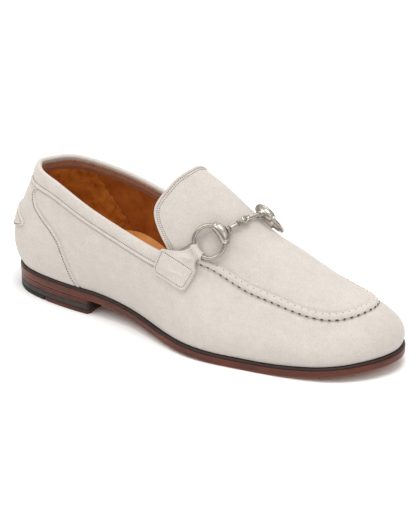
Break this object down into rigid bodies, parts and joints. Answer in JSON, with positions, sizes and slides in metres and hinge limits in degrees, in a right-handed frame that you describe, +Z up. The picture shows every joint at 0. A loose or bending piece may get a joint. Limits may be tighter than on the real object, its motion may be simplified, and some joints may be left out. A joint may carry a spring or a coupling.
{
  "type": "bit loafer",
  "caption": "Right bit loafer in pale suede with an apron and a high tongue, a two-part metal bit held by straps, and a low stacked leather heel.",
  "frame": {"origin": "on the floor under the middle of the shoe's box", "axes": "+X to the toe, +Y to the wearer's left, which is the medial side, +Z up"},
  "size_m": [0.2946, 0.1002, 0.1156],
  "materials": {
    "suede": "suede",
    "sole_leather": "satin",
    "edge_leather": "satin",
    "stacked_leather": "satin",
    "dark_leather": "satin",
    "rubber": "matte",
    "sock_leather": "satin",
    "nickel": "polished nickel"
  },
  "bodies": {
    "root": {"outsole": "sole_leather", "rand": "edge_leather", "heel_stack": "stacked_leather", "heel_lift": "dark_leather", "top_piece_leather": "stacked_leather", "top_piece_rubber": "rubber", "insole": "sock_leather", "upper": "suede", "apron": "suede", "heel_tab": "suede", "strap_lateral": "suede", "strap_medial": "suede", "ring_lateral": "nickel", "ring_medial": "nickel", "keeper_lateral": "nickel", "keeper_medial": "nickel", "bar_lateral": "nickel", "bar_medial": "nickel"}
  },
  "joints": []
}
